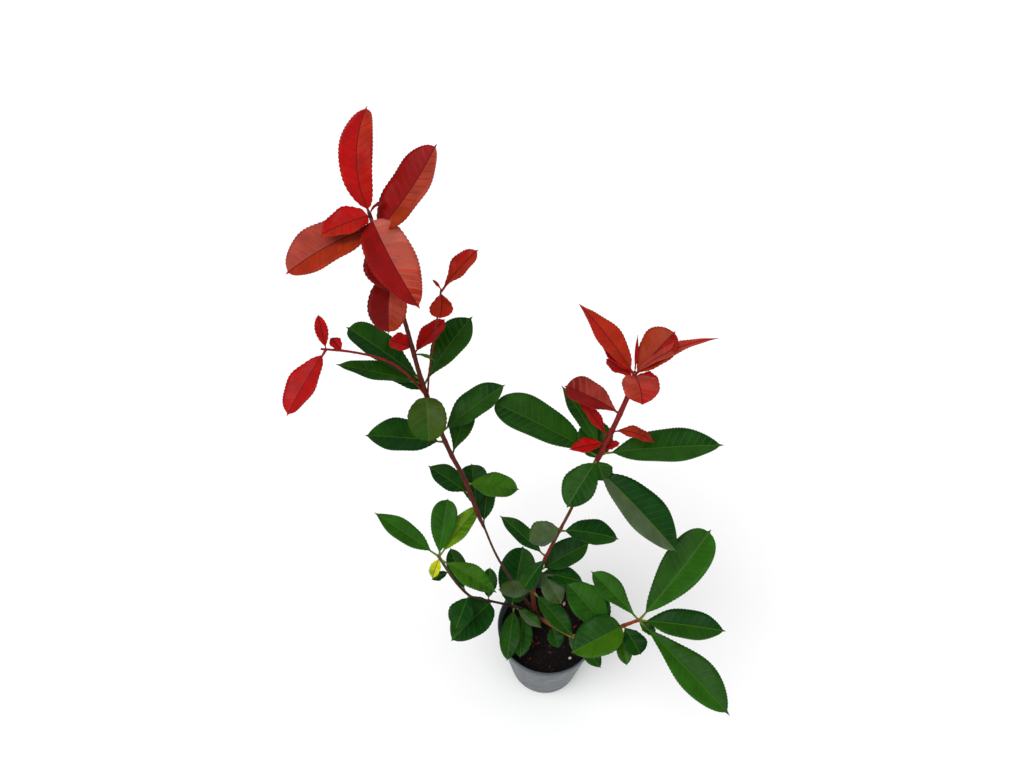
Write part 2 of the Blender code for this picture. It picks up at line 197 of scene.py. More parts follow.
def turned(name, profile, steps, merge=1e-6):
    """A profile of (radius, height) in mm, drawn as a chain and spun round Z."""
    form = bmesh.new()
    chain = [form.verts.new((radius * MM, 0.0, height * MM)) for radius, height in profile]
    edges = [form.edges.new(pair) for pair in zip(chain, chain[1:])]
    bmesh.ops.spin(
        form,
        geom=chain + edges,
        axis=(0.0, 0.0, 1.0),
        cent=(0.0, 0.0, 0.0),
        angle=2 * math.pi,
        steps=steps,
        use_merge=True,
    )
    bmesh.ops.remove_doubles(form, verts=form.verts, dist=merge)
    bmesh.ops.recalc_face_normals(form, faces=form.faces)
    return form


POT_LIP = POT_RIM_RADIUS
POT_BODY = POT_RIM_RADIUS - POT_RIM_STEP
UNDER_BAND = POT_HEIGHT - POT_RIM_BAND
POT_PROFILE = (
    (0.0, POT_WALL),
    (POT_BASE_RADIUS - POT_WALL - 2.2, POT_WALL),
    (POT_BASE_RADIUS - POT_WALL - 0.8, POT_WALL + 0.6),
    (POT_BASE_RADIUS - POT_WALL, POT_WALL + 2.2),
    (POT_BODY - POT_WALL, UNDER_BAND),
    (POT_LIP - POT_WALL, POT_HEIGHT - 0.7),
    (POT_LIP - 0.8 * POT_WALL, POT_HEIGHT - 0.15),
    (POT_LIP - 0.5 * POT_WALL, POT_HEIGHT),
    (POT_LIP - 0.2 * POT_WALL, POT_HEIGHT - 0.15),
    (POT_LIP, POT_HEIGHT - 0.6),
    (POT_LIP - 0.1, UNDER_BAND + 0.6),
    (POT_LIP - 0.45, UNDER_BAND),
    (POT_BODY, UNDER_BAND - 0.6),
    (POT_BASE_RADIUS + 0.5, 3.0),
    (POT_BASE_RADIUS, 1.4),
    (POT_BASE_RADIUS - 0.9, 0.4),
    (POT_BASE_RADIUS - 2.2, 0.0),
    (0.0, 0.0),
)
form = turned("pot", POT_PROFILE, POT_TURNS)
for face in form.faces:
    face.smooth = True
pot = add_object("turned_pot", form)

POT_GREY = (0.044, 0.060, 0.071)
POT_PALE = (0.060, 0.078, 0.088)
finish, shader = new_finish("pot_plastic", POT_GREY, 0.42)
streaks = noise_node(finish, 30.0, 3.0, (3.0, 3.0, 0.25))
colour = ramp_node(finish, streaks, ((0.32, POT_GREY), (0.7, POT_PALE)))
finish.node_tree.links.new(colour, shader.inputs["Base Color"])
wear(finish, shader, noise_node(finish, 120.0, 3.0), 0.38, 0.52)
shader.inputs["Specular IOR Level"].default_value = 0.3
add_bump(finish, shader, noise_node(finish, 45.0, 2.0, (3.0, 3.0, 0.1)), 0.12, 0.0002)
pot.data.materials.append(finish)
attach(pot, "root")
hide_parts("pot")
print("pot", len(pot.data.polygons), "faces")

# %% [markdown]
# ## The soil
# Potting soil is dark peat with bits of reddish bark and a few pale chips. The ball is turned like
# the pot, and only its top is then pushed up and down by noise. Crumbs and chips are many
# small shapes of a few faces, laid half into the top and joined to one mesh.

# %% Turn the root ball and roughen its top
SOIL_TOP = 80.0
SOIL_EDGE = 78.0
SOIL_GAP = 0.3
SOIL_RINGS = 34
SOIL_TURNS = 120
SOIL_ROUGH = 1.0
SOIL_SINK = 0.4
# The flat share of the soil's top, past which it falls to its edge.
SOIL_FLAT = 0.55
TRUNK_X = -9.0
TRUNK_Y = 7.0
# The soil is calm to CALM_RADIUS round the trunk's foot, and grows rough over CALM_RUN.
CALM_RADIUS = 5.0
CALM_RUN = 4.0


def wall_inside(height):
    """The inside radius of the pot at a height."""
    share = height / UNDER_BAND
    return POT_BASE_RADIUS + (POT_BODY - POT_BASE_RADIUS) * share - POT_WALL


def from_trunk(x, y):
    """The distance of a place from the trunk's foot."""
    return math.hypot(x - TRUNK_X, y - TRUNK_Y)


def soil_height(x, y):
    """The height of the soil at a place, in mm."""
    reach = math.hypot(x, y) / wall_inside(SOIL_EDGE)
    fall = (SOIL_TOP - SOIL_EDGE) * max(0.0, reach - SOIL_FLAT) / (1 - SOIL_FLAT)
    grain = noise.noise(Vector((x, y, 3.0)) * 0.35) + 0.6 * noise.noise(Vector((x, y, 9.0)) * 0.9)
    calm = min(1.0, max(0.0, (from_trunk(x, y) - CALM_RADIUS) / CALM_RUN))
    return SOIL_TOP - fall - SOIL_SINK + SOIL_ROUGH * calm * grain


soil_reach = wall_inside(SOIL_EDGE) - SOIL_GAP - 0.2
soil_low = POT_WALL + SOIL_GAP
profile = [(soil_reach * ring / SOIL_RINGS, SOIL_EDGE) for ring in range(SOIL_RINGS + 1)]
profile.append((wall_inside(soil_low + 3.0) - SOIL_GAP - 0.4, soil_low + 3.0))
profile.append((wall_inside(soil_low) - SOIL_GAP - 2.4, soil_low))
profile.append((0.0, soil_low))
form = turned("soil", profile, SOIL_TURNS)
for vert in form.verts:
    if vert.co.z > (SOIL_EDGE - 1.0) * MM:
        vert.co.z = soil_height(vert.co.x / MM, vert.co.y / MM) * MM
for face in form.faces:
    face.smooth = True
soil = add_object("soil_ball", form)

PEAT_DARK = (0.0022, 0.0012, 0.0012)
PEAT_BROWN = (0.012, 0.0055, 0.005)
finish, shader = new_finish("potting_soil", PEAT_DARK, 0.9)
grains = noise_node(finish, 420.0, 5.0)
colour = ramp_node(finish, grains, ((0.45, PEAT_DARK), (0.72, PEAT_BROWN)))
finish.node_tree.links.new(colour, shader.inputs["Base Color"])
shader.inputs["Specular IOR Level"].default_value = 0.15
add_bump(finish, shader, noise_node(finish, 700.0, 6.0), 0.8, 0.0008)
soil.data.materials.append(finish)
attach(soil, "root")
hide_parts("root_ball")
print("soil", len(soil.data.polygons), "faces")

# %% Crumbs, bark bits and chips
CRUMBS = 420
CRUMB_REACH = 0.97
CRUMB_CLEAR = 6.5
BARK_BITS = 46
BARK_REACH = 0.93
BARK_CLEAR = 8.0
BARK_HEIGHT = 0.8
CHIP_HEIGHT = 1.3
CRUMB_TILT = 0.35
CRUMB_JITTER = 0.09
# Each chip: x, y, length and width in mm, turn in degrees, and its finish.
CHIPS = (
    (20.0, -27.0, 3.2, 2.4, 20.0, "pale_chip"),
    (17.0, 24.0, 4.2, 2.6, 70.0, "tan_chip"),
    (-8.0, -13.0, 4.6, 2.0, 15.0, "red_bark_bit"),
    (-13.0, -12.0, 3.6, 1.8, 110.0, "red_bark_bit"),
    (26.0, 2.0, 5.0, 2.4, 40.0, "red_bark_bit"),
    (2.0, -22.0, 4.4, 2.4, -20.0, "brown_bark_bit"),
    (-22.0, 4.0, 4.2, 2.2, 60.0, "brown_bark_bit"),
    (12.0, -6.0, 3.4, 1.6, 0.0, "brown_bark_bit"),
)
CHIP_COLOURS = {
    "crumb": (0.006, 0.0032, 0.003),
    "dark_crumb": (0.0025, 0.0014, 0.0014),
    "red_bark_bit": (0.11, 0.012, 0.010),
    "brown_bark_bit": (0.045, 0.016, 0.009),
    "pale_chip": (0.45, 0.42, 0.40),
    "tan_chip": (0.42, 0.24, 0.19),
}
chip_slots = {name: index for index, name in enumerate(CHIP_COLOURS)}


def add_crumb(form, place, size, turn, slot, rng, splits=1):
    """A faceted lump: a ball of 20 faces, stretched, pushed about and laid on the soil."""
    matrix = (
        Matrix.Translation(Vector(place) * MM)
        @ Matrix.Rotation(turn, 4, "Z")
        @ Matrix.Rotation(rng.uniform(-CRUMB_TILT, CRUMB_TILT), 4, "X")
        @ Matrix.Diagonal((*[side * MM for side in size], 1.0))
    )
    verts = bmesh.ops.create_icosphere(form, subdivisions=splits, radius=0.5, matrix=matrix)["verts"]
    for vert in verts:
        shove = Vector([rng.uniform(-CRUMB_JITTER, CRUMB_JITTER) for _ in range(3)])
        vert.co += shove * min(size) * MM
    for face in {face for vert in verts for face in vert.link_faces}:
        face.material_index = chip_slots[slot]


def scattered(rng, share):
    """A random place on the soil, within a share of its radius."""
    reach, angle = soil_reach * share * math.sqrt(rng.random()), rng.uniform(0, 2 * math.pi)
    return reach * math.cos(angle), reach * math.sin(angle)


CRUMB_SEED = 31
rng = random.Random(CRUMB_SEED)
form = bmesh.new()
for _ in range(CRUMBS):
    x, y = scattered(rng, CRUMB_REACH)
    if from_trunk(x, y) < CRUMB_CLEAR:
        continue
    side = rng.uniform(0.7, 2.3)
    size = (side * rng.uniform(1.0, 1.5), side, side * rng.uniform(0.5, 0.8))
    slot = rng.choice(("crumb", "dark_crumb", "dark_crumb"))
    add_crumb(form, (x, y, soil_height(x, y) + 0.1), size, rng.uniform(0, 3), slot, rng)
for _ in range(BARK_BITS):
    x, y = scattered(rng, BARK_REACH)
    if from_trunk(x, y) < BARK_CLEAR:
        continue
    size = (rng.uniform(2.0, 4.0), rng.uniform(1.0, 1.8), BARK_HEIGHT)
    slot = rng.choice(("red_bark_bit", "brown_bark_bit", "brown_bark_bit"))
    add_crumb(form, (x, y, soil_height(x, y) + 0.3), size, rng.uniform(0, 3), slot, rng)
for x, y, long, wide, turn, slot in CHIPS:
    size = (long, wide, CHIP_HEIGHT)
    add_crumb(form, (x, y, soil_height(x, y) + 0.5), size, math.radians(turn), slot, rng, 2)
crumbs = add_object("soil_crumbs", form)
for name, colour in CHIP_COLOURS.items():
    finish, shader = new_finish(name, colour, 0.85)
    shader.inputs["Specular IOR Level"].default_value = 0.2
    add_bump(finish, shader, noise_node(finish, 900.0, 4.0), 0.6, 0.0004)
    crumbs.data.materials.append(finish)
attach(crumbs, "root")
print("crumbs", len(crumbs.data.polygons), "faces")

# %% [markdown]
# ## The lines of the limbs
# Every limb is one smooth curve through a few points, each with its own radius. The points and
# the leaf rows below are the same as those the solids were built from, so the fine leaves grow
# where the solid ones stand.

# %% Limb lines
# x, y, height and radius in mm.
RIGHT_LIMB = (
    (-9.5, 6.0, 94, 2.6),
    (-13, 5, 125, 2.4),
    (-14, 5, 160, 2.3),
    (-9, 8, 184, 2.0),
    (-2, 12, 211, 1.7),
    (12, 22, 253, 1.4),
    (24, 32, 288, 1.4),
    (31, 37, 306, 2.2),
    (40, 44, 335, 2.2),
    (47, 50, 361, 2.1),
    (50, 55, 379, 1.7),
)
LEFT_LIMB = (
    (-9.5, 6.0, 96, 2.3),
    (-20, 9, 122, 1.7),
    (-43, 18, 182, 1.2),
    (-54, 27, 219, 1.2),
    (-58, 30, 232, 2.2),
    (-68, 40, 270, 2.1),
    (-77, 46, 295, 2.1),
    (-84, 52, 318, 2.0),
    (-93, 60, 356, 2.0),
    (-98, 66, 389, 1.8),
    (-102, 71, 417, 1.7),
    (-111, 80, 467, 1.5),
    (-115, 84, 488, 1.2),
)
LOW_LEFT_LIMB = (
    (-9.5, 6.0, 92, 1.8),
    (-20, 8, 102, 1.4),
    (-32, 8, 112, 1.2),
    (-53, 0, 142, 1.0),
    (-67, 0, 150, 1.0),
    (-79, 4, 170, 1.2),
    (-91, 9, 206, 1.2),
)
LOW_RIGHT_LIMB = (
    (-9.5, 6.0, 92, 2.3),
    (2, -6, 106, 2.1),
    (12, -16, 115, 2.0),
    (25, -26, 124, 1.9),
    (40, -37, 158, 1.6),
    (52, -45, 196, 1.6),
    (62, -50, 221, 1.3),
)
SIDE_TWIG = (
    (-91, 58, 349, 1.5),
    (-103, 60, 371, 1.3),
    (-117, 60, 386, 1.2),
    (-137, 58, 396, 1.1),
    (-155, 55, 402, 0.9),
)
SLIM_TWIG = (
    (-91, 58, 349, 1.3),
    (-88, 64, 373, 1.0),
    (-84, 68, 392, 0.9),
    (-80, 74, 414, 0.9),
    (-77, 80, 431, 0.8),
)
TRUNK_COLUMN = (
    (-9.0, 7.0, 80.3, 5.2),
    (-9.0, 7.0, 82.0, 4.2),
    (-9.1, 6.8, 85.5, 3.3),
    (-9.4, 6.3, 92.0, 2.8),
    (-9.5, 6.0, 97.0, 2.7),
)


def smooth_line(points, step=6.0):
    """Samples of a smooth curve through the points, each (position, radius)."""
    knots = [Vector(point) for point in points]
    knots = [knots[0] * 2 - knots[1], *knots, knots[-1] * 2 - knots[-2]]
    line = []
    for index in range(1, len(knots) - 2):
        a, b, c, d = knots[index - 1 : index + 3]
        pieces = max(2, round((c.xyz - b.xyz).length / step))
        for piece in range(pieces):
            t = piece / pieces
            line.append(
                0.5
                * (
                    2 * b
                    + (c - a) * t
                    + (2 * a - 5 * b + 4 * c - d) * t * t
                    + (3 * b - a - 3 * c + d) * t * t * t
                )
            )
    line.append(knots[-2])
    return [(sample.xyz, sample.w) for sample in line]


def point_at(line, height):
    """The position and radius where a rising line passes a height."""
    for (low, low_radius), (high, high_radius) in zip(line, line[1:]):
        if low.z <= height <= high.z:
            share = (height - low.z) / (high.z - low.z)
            return low.lerp(high, share), low_radius + (high_radius - low_radius) * share
    return line[-1] if height > line[-1][0].z else line[0]


LINES = {
    "right": smooth_line(RIGHT_LIMB),
    "left": smooth_line(LEFT_LIMB),
    "low_left": smooth_line(LOW_LEFT_LIMB),
    "low_right": smooth_line(LOW_RIGHT_LIMB),
    "side": smooth_line(SIDE_TWIG),
    "slim": smooth_line(SLIM_TWIG),
}
print(len(LINES), "limbs, the tallest to", LEFT_LIMB[-1][2], "mm")

# %% [markdown]
# ## The leaf rows
# A row holds one leaf: where its stalk leaves the limb, the way it points, its size, its bends
# and its paint. A young leaf is red, then bronze, and turns green within weeks, so the paints
# run from crimson at the shoot tips to deep green near the pot.

# %% Leaf rows
# Height of the root; compass turn, 0 to +X and 90 to +Y; lift; length; width; roll; arch;
# sweep; paint; and form.
LEFT_LOW = (
    (238, 98, 25, 38, 23, 0, 15, 0, "deep", "blunt"),
    (255, 154, 24, 40, 20, 0, 5, 0, "deep", "lance"),
    (267, 353, -2, 41, 22, 0, 5, 0, "light", "oval"),
    (222, 82, 32, 37, 15, 0, 15, 0, "deep", "lance"),
    (294, 65, 40, 41, 19, 0, 15, 0, "mid", "spoon"),
)
LEFT_MIDDLE = (
    (307, 183, 12, 58, 30, 0, 10, 0, "deep", "oval"),
    (316, 30, 22, 58, 25, 0, 15, 0, "mid", "oval"),
    (352, 150, 20, 40, 18, 0, 10, 0, "deep", "oval"),
    (350, 275, -30, 33, 28, 0, 35, 0, "olive", "round"),
    (358, 47, 32, 59, 26, 0, 25, 0, "mid", "spoon"),
    (360, 175, 14, 60, 16, 0, 10, 0, "mid", "lance"),
    (363, 157, 30, 62, 24, 0, 15, 0, "deep", "blunt"),
)
LEFT_LEADER = (
    (386, 52, 12, 33, 14, 0, 10, 0, "scarlet", "oval"),
    (391, 165, 10, 16, 15, 0, 10, 0, "scarlet", "round"),
    (385, 345, -10, 15, 2.6, 0, 80, 0, "light", "lance"),
    (444, 269, -30, 35, 25, 0, 60, 0, "dusk", "round"),
    (474, 286, -44, 35, 24, 0, 10, 0, "wine", "lance"),
    (475, 32, 45, 63, 28, -10, 0, 22, "crimson_bronze", "round"),
    (479, 212, -10, 58, 30, 15, 0, 25, "bronze_dusty", "round"),
    (485, 304, -32, 61, 29, 0, 12, 14, "dusty_crimson", "broad"),
    (486, 207, -6, 31, 19, 15, 5, 15, "scarlet_orange", "broad"),
    (487, 89, 50, 60, 20, 0, 10, -50, "scarlet_tip", "round"),
    (487, 30, 20, 12, 2.6, 0, 90, 0, "wine", "lance"),
)
SIDE_LEAVES = (
    (398, 140, 30, 11, 8, 0, 10, 0, "scarlet", "oval"),
    (401, 239, -25, 49, 21, 0, 15, 0, "scarlet", "oval"),
    (401, 106, 50, 23, 8, 0, 10, 0, "scarlet", "oval"),
)
SLIM_LEAVES = (
    (429, 268, -35, 17, 15, 0, 10, -30, "flame", "blunt"),
    (429, 34, 36, 36, 16, 0, 20, 0, "flame", "spoon"),
    (431, 150, 42, 8, 2.4, 0, 10, 0, "flame", "lance"),
)
RIGHT_LOW = (
    (150, 182, 10, 30, 16, 0, 15, 0, "pale", "oval"),
    (150, 309, 0, 52, 18, 0, 15, 0, "mid", "lance"),
    (183, 305, -18, 32, 19, 0, 15, 0, "pale", "oval"),
    (183, 22, 20, 47, 25, 0, 15, 0, "deep", "oval"),
    (181, 346, 0, 37, 17, 0, 15, 0, "deep", "oval"),
    (200, 225, -38, 31, 17, 0, 15, 0, "deep", "blunt"),
    (202, 145, 24, 50, 16, 0, 10, 0, "deep", "lance"),
    (233, 349, 3, 46, 22, 0, 15, -15, "deep", "oval"),
    (237, 202, -8, 28, 22, 0, 15, 0, "pale", "oval"),
)
RIGHT_NODE = (
    (306, 158, 16, 87, 34, 0, 15, 0, "mid", "blunt"),
    (312, 129, 32, 55, 15, 0, 15, 0, "mid", "lance"),
    (309, 355, 14, 86, 29, 0, 10, 0, "mid", "oval"),
    (298, 316, -19, 85, 33, 0, 15, 0, "deep_pale", "oval"),
    (304, 233, -25, 42, 25, 0, 20, 0, "mid", "oval"),
    (303, 290, -32, 16, 17, 0, 15, 0, "mid", "oval"),
    (303, 99, 30, 29, 27, 0, 15, 0, "mid", "round"),
)
RIGHT_LEADER = (
    (345, 157, 14, 43, 24, 0, 25, 0, "dusk_wine", "blunt"),
    (323, 140, 39, 39, 10, 0, 15, 0, "scarlet", "lance"),
    (319, 190, -4, 27, 12, 0, 10, 0, "scarlet", "lance"),
    (313, 10, 22, 13, 7, 0, 10, 0, "scarlet", "oval"),
    (329, 341, 0, 31, 10, 0, 80, 0, "lime_wine", "lance"),
    (375, 140, 5, 23, 14, 0, 15, 0, "scarlet", "oval"),
    (376, 343, 3, 17, 9, 0, 15, 0, "scarlet", "oval"),
    (377, 136, 31, 60, 19, 0, 20, 0, "flame", "sharp"),
    (378, 145, 22, 29, 13, 0, 15, 0, "scarlet", "lance"),
    (376, 33, 40, 40, 27, 0, 10, 0, "rust", "blunt"),
    (377, 9, 27, 59, 9, 0, 60, 0, "rose", "sharp"),
    (377, 274, 6, 28, 25, 0, 30, -15, "rose", "round"),
    (378, 86, 50, 26, 2.4, 0, 10, 0, "scarlet", "lance"),
)
LOW_LEFT_BASE = (
    (112, 77, 35, 54, 34, 0, 15, 0, "deep", "round"),
    (109, 322, -6, 30, 11, 0, 10, 0, "mid_pale", "lance"),
    (110, 262, -12, 47, 18, 0, 20, 0, "mid", "oval"),
    (103, 265, -10, 42, 20, 0, 15, 0, "mid", "oval"),
    (141, 88, 22, 28, 14, 0, 15, 0, "deep", "oval"),
    (138, 224, -8, 47, 34, 0, 10, 0, "deep", "broad"),
)
LOW_LEFT_TIP = (
    (152, 250, -10, 30, 22, 0, 10, 0, "deep", "oval"),
    (156, 112, 25, 39, 17, 0, 10, 0, "deep", "oval"),
    (184, 206, -2, 15, 8, 0, 10, 0, "deep", "oval"),
    (204, 251, -20, 17, 9, 0, 10, 0, "yellow", "oval"),
    (201, 332, -10, 52, 19, 0, 20, 0, "light", "lance"),
    (205, 48, 22, 53, 17, 0, 15, 0, "lime", "lance"),
    (205, 80, 32, 47, 22, 0, 15, 0, "fresh", "blunt"),
    (206, 154, 25, 62, 18, 0, 5, 0, "fresh", "lance"),
)
LOW_RIGHT_BASE = (
    (107, 287, -10, 21, 15, 0, 10, 0, "deep", "oval"),
    (117, 308, -5, 26, 12, 0, 10, 0, "pale", "oval"),
    (122, 308, -5, 32, 14, 0, 10, 0, "deep", "oval"),
)
LOW_RIGHT_TIP = (
    (176, 134, 15, 50, 29, 0, 15, 0, "fresh", "oval"),
    (174, 118, 12, 43, 23, 0, 15, 0, "deep", "oval"),
    (191, 280, -15, 28, 12, 0, 15, 0, "light", "oval"),
    (199, 204, -10, 45, 32, 0, 10, 0, "light_deep", "broad"),
    (199, 300, -12, 24, 18, 0, 15, 0, "deep", "blunt"),
    (219, 318, -4, 16, 9, 0, 10, 0, "mid", "oval"),
    (220, 310, -2, 87, 29, 0, 12, 0, "mid_fresh", "spoon"),
    (220, 348, 10, 62, 23, 0, 12, 0, "deep_mid", "oval"),
    (221, 44, 31, 85, 32, 0, 10, 8, "mid_fresh", "blunt"),
    (220, 136, 15, 49, 19, 0, 12, 0, "fresh", "spoon"),
)
# Each mass of leaves: its solid, its limb, its rows and its slot.
MASSES = (
    ("right_low", "right", RIGHT_LOW, "green_foliage"),
    ("right_node", "right", RIGHT_NODE, "green_foliage"),
    ("right_red", "right", RIGHT_LEADER, "red_foliage"),
    ("left_low", "left", LEFT_LOW, "green_foliage"),
    ("left_middle", "left", LEFT_MIDDLE, "green_foliage"),
    ("left_red", "left", LEFT_LEADER, "red_foliage"),
    ("side_red", "side", SIDE_LEAVES, "red_foliage"),
    ("slim_red", "slim", SLIM_LEAVES, "red_foliage"),
    ("low_left", "low_left", LOW_LEFT_BASE, "green_foliage"),
    ("low_left_tip", "low_left", LOW_LEFT_TIP, "green_foliage"),
    ("low_right", "low_right", LOW_RIGHT_BASE, "green_foliage"),
    ("low_right_tip", "low_right", LOW_RIGHT_TIP, "green_foliage"),
)
print(sum(len(rows) for _, _, rows, _ in MASSES), "leaves in", len(MASSES), "masses")

# %% [markdown]
# ## Leaf paints
# Photinia leaves have a waxy skin. Under it the colour changes along the blade and from one half
# to the other. Some of that change is painted light: a half turned from the light is painted
# darker as painted shade, and a glossy half or base is painted paler as painted sheen, grey-green
# on green leaves and pink on red ones. Each paint names four tints: the left half at its base and
# at its tip, and the right half the same. In-between tints are mixed for the bands between the
# side veins, so the change follows the veins. The tints sit plainly on the shader.

# %% Tints and paints
TINTS = {
    "green_deep": (0.0016, 0.0360, 0.0010),
    "green_mid": (0.0110, 0.0600, 0.0014),
    "green_fresh": (0.0150, 0.0860, 0.0014),
    "green_light": (0.0340, 0.1120, 0.0014),
    "green_lime": (0.1100, 0.2300, 0.0020),
    # Grey-green painted sheen on glossy green leaves, and in part the pale underside that a curled leaf
    # shows.
    "green_pale": (0.0620, 0.0950, 0.0420),
    "green_olive": (0.0350, 0.0660, 0.0040),
    "yellow": (0.5000, 0.5000, 0.0080),
    "red_bright": (0.3600, 0.0016, 0.0012),
    "red_deep": (0.2250, 0.0012, 0.0010),
    # Dark wine red, in part the leaf's own colour and in part painted shade on leaves and halves that lie in
    # shade.
    "red_dark": (0.1500, 0.0040, 0.0030),
    "red_orange": (0.3400, 0.0160, 0.0016),
    "bronze": (0.2900, 0.0240, 0.0030),
    # Muted pink, in part the red leaves' own pink and in part painted sheen on their glossy halves and bases.
    "pink_dusty": (0.3300, 0.0420, 0.0260),
    # Pale pink painted sheen on a glossy half, in part the young leaf's own pale pink.
    "pink_pale": (0.4000, 0.0850, 0.0580),
}
# Where a paint's two halves differ, that is in part the leaf's own colour and in part painted light: painted
# shade on the half turned from the light, and painted sheen on a glossy half or base.
PAINTS = {
    "deep": ("green_deep", "green_deep", "green_deep", "green_mid"),
    "mid": ("green_mid", "green_deep", "green_mid", "green_mid"),
    "fresh": ("green_fresh", "green_mid", "green_fresh", "green_fresh"),
    "light": ("green_light", "green_fresh", "green_light", "green_mid"),
    "lime": ("green_lime", "green_lime", "green_lime", "green_fresh"),
    # Painted sheen: grey-green over most of the blade.
    "pale": ("green_pale", "green_pale", "green_pale", "green_olive"),
    "olive": ("green_olive", "green_olive", "green_olive", "green_mid"),
    "yellow": ("yellow", "yellow", "yellow", "green_lime"),
    "deep_mid": ("green_deep", "green_deep", "green_mid", "green_mid"),
    "mid_fresh": ("green_mid", "green_mid", "green_fresh", "green_fresh"),
    "light_deep": ("green_light", "green_light", "green_mid", "green_deep"),
    "mid_pale": ("green_mid", "green_mid", "green_pale", "green_pale"),
    "deep_pale": ("green_deep", "green_deep", "green_pale", "green_pale"),
    "scarlet": ("red_bright", "red_bright", "red_bright", "red_bright"),
    "scarlet_tip": ("red_bright", "red_bright", "red_bright", "red_orange"),
    "scarlet_orange": ("red_bright", "red_orange", "red_bright", "red_bright"),
    "flame": ("red_orange", "red_bright", "red_orange", "red_orange"),
    "wine": ("red_dark", "red_dark", "red_deep", "red_dark"),
    "dusk": ("pink_dusty", "bronze", "red_dark", "red_dark"),
    "dusk_wine": ("red_deep", "red_dark", "pink_dusty", "red_dark"),
    "rust": ("bronze", "bronze", "red_orange", "red_deep"),
    "rose": ("pink_dusty", "red_bright", "pink_dusty", "red_orange"),
    "lime_wine": ("bronze", "red_dark", "bronze", "red_deep"),
    "crimson_bronze": ("red_deep", "red_deep", "bronze", "pink_dusty"),
    "bronze_dusty": ("bronze", "red_orange", "pink_dusty", "pink_dusty"),
    "dusty_crimson": ("pink_pale", "red_orange", "red_deep", "red_deep"),
}
RED_PAINTS = {
    "scarlet", "scarlet_tip", "scarlet_orange", "flame", "wine", "dusk", "dusk_wine", "rust", "rose",
    "lime_wine", "crimson_bronze", "bronze_dusty", "dusty_crimson",
}
VEIN_GREEN = (0.0500, 0.1200, 0.0080)
VEIN_RED = (0.1000, 0.0030, 0.0030)
VEIN_SHARE = 0.16
RIB_GREEN = (0.0400, 0.1050, 0.0060)
RIB_RED = (0.0700, 0.0030, 0.0030)
UNDER_GREEN = (0.0500, 0.0950, 0.0260)
UNDER_RED = (0.2600, 0.0300, 0.0180)
SHADES = (0.86, 1.0, 1.15)
# How many steps lead from a half's base tint to its tip tint.
LEVELS = 3
LEAF_ROUGHNESS = 0.42
UNDER_ROUGHNESS = 0.5
leaf_finishes = {}


def mixed(first, second, share):
    """A colour at a share of the way from the first to the second."""
    return tuple(a + (b - a) * share for a, b in zip(first, second))


def leaf_finish(name, colour, roughness=LEAF_ROUGHNESS):
    """A waxy leaf skin of one plain tint, made once for all leaves."""
    if name not in leaf_finishes:
        finish, shader = new_finish(name, colour, roughness)
        shader.inputs["Specular IOR Level"].default_value = 0.1
        wear(finish, shader, noise_node(finish, 160.0, 3.0), roughness - 0.07, roughness + 0.1)
        add_bump(finish, shader, noise_node(finish, 650.0, 3.0), 0.25, 0.0002)
        leaf_finishes[name] = finish
    return name


def blade_tint(paint, side, level, shade):
    """The finish between a half's base and tip tints, in LEVELS steps, in one of the shades."""
    first, last = PAINTS[paint][2 * side : 2 * side + 2]
    level = 0 if first == last else level
    colour = mixed(TINTS[first], TINTS[last], level / LEVELS)
    if level == LEVELS:
        first, level = last, 0
    name = f"{first}_{shade}" if level == 0 else f"{first}_{last}_{level}_{shade}"
    return leaf_finish(name, tuple(part * SHADES[shade] for part in colour))


def vein_tint(paint, side):
    """The finish of the side veins on one half."""
    first = PAINTS[paint][2 * side]
    vein = VEIN_RED if paint in RED_PAINTS else VEIN_GREEN
    return leaf_finish("vein_" + first, mixed(TINTS[first], vein, VEIN_SHARE))


print(len(TINTS), "tints,", len(PAINTS), "paints")

# %% [markdown]
# ## One leaf
# A photinia blade is a leathery oval with a short point, folded a little along its midrib, with
# a finely toothed edge. It starts as a flat grid. Each vertex is carried to its place on the
# folded, arched blade. The grid's rows slant forward from the rib, so they run along the side
# veins, and the skin bulges between them like a quilt. The outer column is drawn out into
# teeth. At last the whole sheet is extruded away from its face by its thickness. A solidify
# would do that too, but it shoots past sharp corners such as these tips.

# %% The shape of a blade
LEAF_FOLD = 16.0
FOLD_SPREAD = 4.0
SEED = 9
COLUMNS = 11
ROW_STEP = 0.72
VEIN_STEP = 5.0
VEIN_SLANT = 0.55
QUILT = 0.11
TOOTH_ROWS = 3
TOOTH = 0.75
EDGE_WAVE = 0.75
MOTTLE = 130.0
BLADE_THICK = 0.32
RIB_HALF = 0.30
RIB_MOST = 0.18
# The least half-width of a blade in mm, at its base and how much less at its tip.
LEAST_HALF = 0.55
TIP_LESS = 0.40
# A blade narrower than this half-width has smaller teeth, waves and bulges.
FULL_HALF = 4.0
WAVE_RATE = 14.0
WAVE_SHIFT = 2.0
# The fold is steeper by this share at the rib than at the edge.
RIB_STEEPER = 0.12

# Each form: how its outline narrows to the base and to the tip, and its stalk as a share of
# the leaf. A power under 1 gives a round end, and one over 1 a drawn-out one.
FORMS = {
    "lance": (1.00, 0.95, 0.12),
    "sharp": (0.90, 1.15, 0.08),
    "oval": (0.85, 0.72, 0.10),
    "blunt": (0.95, 0.48, 0.08),
    "broad": (0.50, 0.70, 0.04),
    "round": (0.55, 0.48, 0.05),
    "spoon": (1.60, 0.85, 0.06),
}
# The oval body ends before the tip, and a short point goes on from it.
BODY_END = 0.965
POINT_RUN = 0.14
POINT_WIDTH = 0.24


